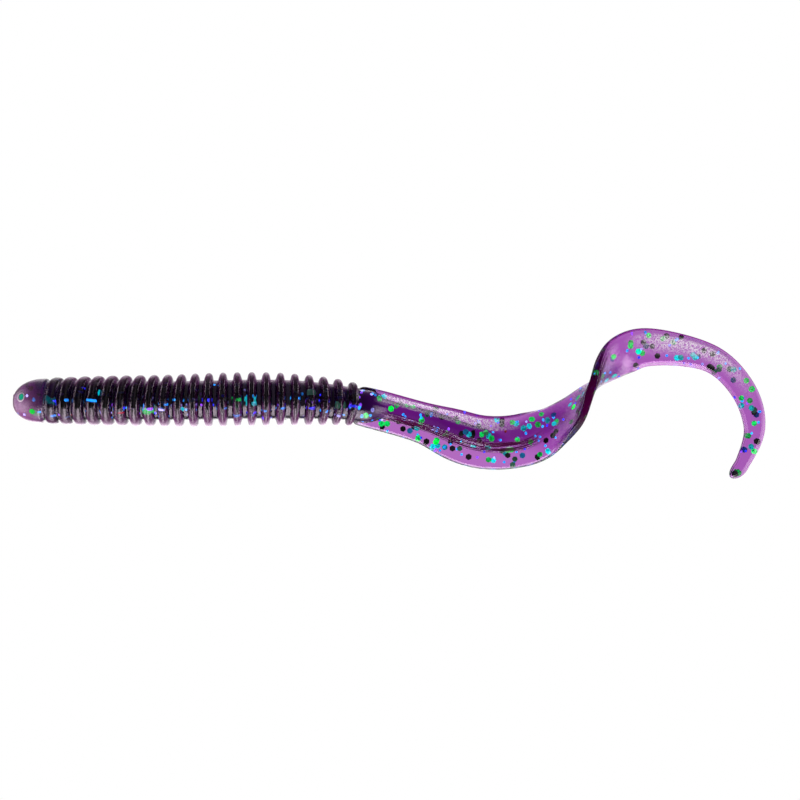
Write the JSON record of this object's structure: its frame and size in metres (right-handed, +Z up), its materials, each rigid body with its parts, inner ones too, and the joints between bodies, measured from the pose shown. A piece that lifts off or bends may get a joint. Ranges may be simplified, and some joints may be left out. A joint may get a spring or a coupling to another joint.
{
  "type": "soft plastic worm",
  "caption": "Soft plastic fishing worm with a ribbed round body and a flat ribbon tail that turns over once and ends in a sickle curl.",
  "frame": {"origin": "centre of the small flat face on the nose", "axes": "+X from the nose towards the tail, +Z up as the worm is shown with its sickle tail in the vertical plane, +Y towards the far side"},
  "size_m": [0.1051, 0.0114, 0.021],
  "materials": {
    "head_plastic": "gloss",
    "body_plastic": "gloss",
    "tail_plastic": "gloss",
    "flake_green": "gloss",
    "flake_teal": "gloss",
    "flake_blue": "gloss"
  },
  "bodies": {
    "head": {"head": "head_plastic", "head_flake_1": "flake_green", "head_flake_2": "flake_teal", "head_flake_3": "flake_blue"},
    "body_1": {"body_1": "body_plastic"},
    "body_2": {"body_2": "body_plastic"},
    "body_3": {"body_3": "body_plastic"},
    "body_4": {"body_4": "body_plastic"},
    "body_5": {"body_5": "body_plastic"},
    "body_6": {"body_6": "body_plastic"},
    "tail_root": {"tail_root": "tail_plastic", "tail_root_flake_1": "flake_green", "tail_root_flake_2": "flake_teal", "tail_root_flake_3": "flake_blue"},
    "stem": {"stem": "tail_plastic", "stem_flake_1": "flake_green", "stem_flake_2": "flake_teal", "stem_flake_3": "flake_blue"},
    "paddle": {"paddle": "tail_plastic", "paddle_flake_1": "flake_green", "paddle_flake_2": "flake_teal", "paddle_flake_3": "flake_blue"},
    "turn_1": {"turn_1": "tail_plastic", "turn_1_flake_1": "flake_green", "turn_1_flake_2": "flake_teal", "turn_1_flake_3": "flake_blue"},
    "turn_2": {"turn_2": "tail_plastic", "turn_2_flake_1": "flake_green", "turn_2_flake_2": "flake_teal", "turn_2_flake_3": "flake_blue"},
    "turn_3": {"turn_3": "tail_plastic", "turn_3_flake_1": "flake_green", "turn_3_flake_2": "flake_teal", "turn_3_flake_3": "flake_blue"},
    "sickle_1": {"sickle_1": "tail_plastic", "sickle_1_flake_1": "flake_green", "sickle_1_flake_2": "flake_teal", "sickle_1_flake_3": "flake_blue"},
    "sickle_2": {"sickle_2": "tail_plastic", "sickle_2_flake_1": "flake_green", "sickle_2_flake_2": "flake_teal", "sickle_2_flake_3": "flake_blue"},
    "sickle_3": {"sickle_3": "tail_plastic", "sickle_3_flake_1": "flake_green", "sickle_3_flake_2": "flake_teal", "sickle_3_flake_3": "flake_blue"},
    "sickle_4": {"sickle_4": "tail_plastic", "sickle_4_flake_1": "flake_green", "sickle_4_flake_2": "flake_teal", "sickle_4_flake_3": "flake_blue"},
    "sickle_5": {"sickle_5": "tail_plastic", "sickle_5_flake_1": "flake_green", "sickle_5_flake_2": "flake_teal", "sickle_5_flake_3": "flake_blue"},
    "tail_tip": {"tail_tip": "tail_plastic", "tail_tip_flake_1": "flake_green"}
  },
  "joints": [
    {"name": "body_sway", "type": "hinge", "parent": "head", "child": "body_1", "pos_m": [0.01085, -0.0022, -0.0001], "axis": [0, 0, -1], "range_deg": [-11, 11], "stiffness_Nm_per_rad": 0.0012},
    {"name": "body_arch", "type": "hinge", "parent": "body_1", "child": "body_2", "pos_m": [0.0167, -0.0032, -0.0001], "axis": [0.1432, 0.9897, 0], "range_deg": [-11, 11], "stiffness_Nm_per_rad": 0.0012},
    {"name": "body_sway_mid", "type": "hinge", "parent": "body_2", "child": "body_3", "pos_m": [0.0226, -0.0039, -0.0001], "axis": [0.0085, 0, -1], "range_deg": [-11, 11], "stiffness_Nm_per_rad": 0.0012},
    {"name": "body_arch_mid", "type": "hinge", "parent": "body_3", "child": "body_4", "pos_m": [0.0285, -0.0042, 0], "axis": [0.0169, 0.9999, 0.0003], "range_deg": [-11, 11], "stiffness_Nm_per_rad": 0.0012},
    {"name": "body_sway_rear", "type": "hinge", "parent": "body_4", "child": "body_5", "pos_m": [0.03445, -0.0041, 0.0001], "axis": [0, 0, -1], "range_deg": [-11, 11], "stiffness_Nm_per_rad": 0.0012},
    {"name": "body_arch_rear", "type": "hinge", "parent": "body_5", "child": "body_6", "pos_m": [0.0404, -0.0037, 0], "axis": [-0.1065, 0.9943, 0.0046], "range_deg": [-11, 11], "stiffness_Nm_per_rad": 0.0012},
    {"name": "stem_sway", "type": "hinge", "parent": "body_6", "child": "tail_root", "pos_m": [0.0502, -0.0021, -0.0012], "axis": [-0.2426, 0, -0.9701], "range_deg": [-12, 12], "stiffness_Nm_per_rad": 0.0003},
    {"name": "stem_sway_mid", "type": "hinge", "parent": "tail_root", "child": "stem", "pos_m": [0.0573, -0.0008, -0.0032], "axis": [-0.2945, 0, -0.9557], "range_deg": [-12, 12], "stiffness_Nm_per_rad": 0.00015},
    {"name": "stem_sway_rear", "type": "hinge", "parent": "stem", "child": "paddle", "pos_m": [0.0653, 0.0003, -0.00585], "axis": [-0.1421, 0, -0.9899], "range_deg": [-12, 12], "stiffness_Nm_per_rad": 0.0001},
    {"name": "turn_swing", "type": "hinge", "parent": "paddle", "child": "turn_1", "pos_m": [0.0723, 0.0008, -0.00535], "axis": [0.2771, -0.1289, -0.9522], "range_deg": [-14, 14], "stiffness_Nm_per_rad": 0.00004},
    {"name": "turn_swing_mid", "type": "hinge", "parent": "turn_1", "child": "turn_2", "pos_m": [0.07755, 0.0004, -0.0023], "axis": [0.2883, -0.8133, -0.5053], "range_deg": [-14, 14], "stiffness_Nm_per_rad": 0.00004},
    {"name": "turn_swing_rear", "type": "hinge", "parent": "turn_2", "child": "turn_3", "pos_m": [0.08115, -0.0006, 0.00195], "axis": [-0.1344, -0.9862, -0.0966], "range_deg": [-14, 14], "stiffness_Nm_per_rad": 0.00004},
    {"name": "sickle_flap", "type": "hinge", "parent": "turn_3", "child": "sickle_1", "pos_m": [0.0853, -0.0015, 0.00632], "axis": [-0.5312, -0.3612, 0.7664], "range_deg": [-14, 14], "stiffness_Nm_per_rad": 0.00003},
    {"name": "sickle_curl", "type": "hinge", "parent": "sickle_1", "child": "sickle_2", "pos_m": [0.0899, -0.002, 0.00735], "axis": [-0.0327, -0.9995, 0.0015], "range_deg": [-8, 8], "stiffness_Nm_per_rad": 0.00006},
    {"name": "sickle_flap_mid", "type": "hinge", "parent": "sickle_2", "child": "sickle_3", "pos_m": [0.0975, -0.0019, 0.00575], "axis": [0.4412, 0, 0.8974], "range_deg": [-14, 14], "stiffness_Nm_per_rad": 0.00002},
    {"name": "sickle_curl_mid", "type": "hinge", "parent": "sickle_3", "child": "sickle_4", "pos_m": [0.102, -0.0016, 0.0014], "axis": [0.028, -0.9986, -0.0444], "range_deg": [-8, 8], "stiffness_Nm_per_rad": 0.00003},
    {"name": "sickle_flap_rear", "type": "hinge", "parent": "sickle_4", "child": "sickle_5", "pos_m": [0.1036, -0.0013, -0.0039], "axis": [1, 0, -0.0003], "range_deg": [-14, 14], "stiffness_Nm_per_rad": 0.00001},
    {"name": "sickle_curl_rear", "type": "hinge", "parent": "sickle_5", "child": "tail_tip", "pos_m": [0.102, -0.0011, -0.0087], "axis": [-0.0167, -0.9992, -0.0352], "range_deg": [-8, 8], "stiffness_Nm_per_rad": 0.00001}
  ],
  "couplings": [
    {"joint": "body_sway_mid", "follows": "body_sway", "ratio": 1},
    {"joint": "body_sway_rear", "follows": "body_sway", "ratio": 1},
    {"joint": "body_arch_mid", "follows": "body_arch", "ratio": 1},
    {"joint": "body_arch_rear", "follows": "body_arch", "ratio": 1},
    {"joint": "stem_sway_mid", "follows": "stem_sway", "ratio": 1},
    {"joint": "stem_sway_rear", "follows": "stem_sway", "ratio": 1},
    {"joint": "turn_swing_mid", "follows": "turn_swing", "ratio": 1},
    {"joint": "turn_swing_rear", "follows": "turn_swing", "ratio": 1},
    {"joint": "sickle_flap_mid", "follows": "sickle_flap", "ratio": 1},
    {"joint": "sickle_flap_rear", "follows": "sickle_flap", "ratio": 1},
    {"joint": "sickle_curl_mid", "follows": "sickle_curl", "ratio": 1},
    {"joint": "sickle_curl_rear", "follows": "sickle_curl", "ratio": 1}
  ]
}
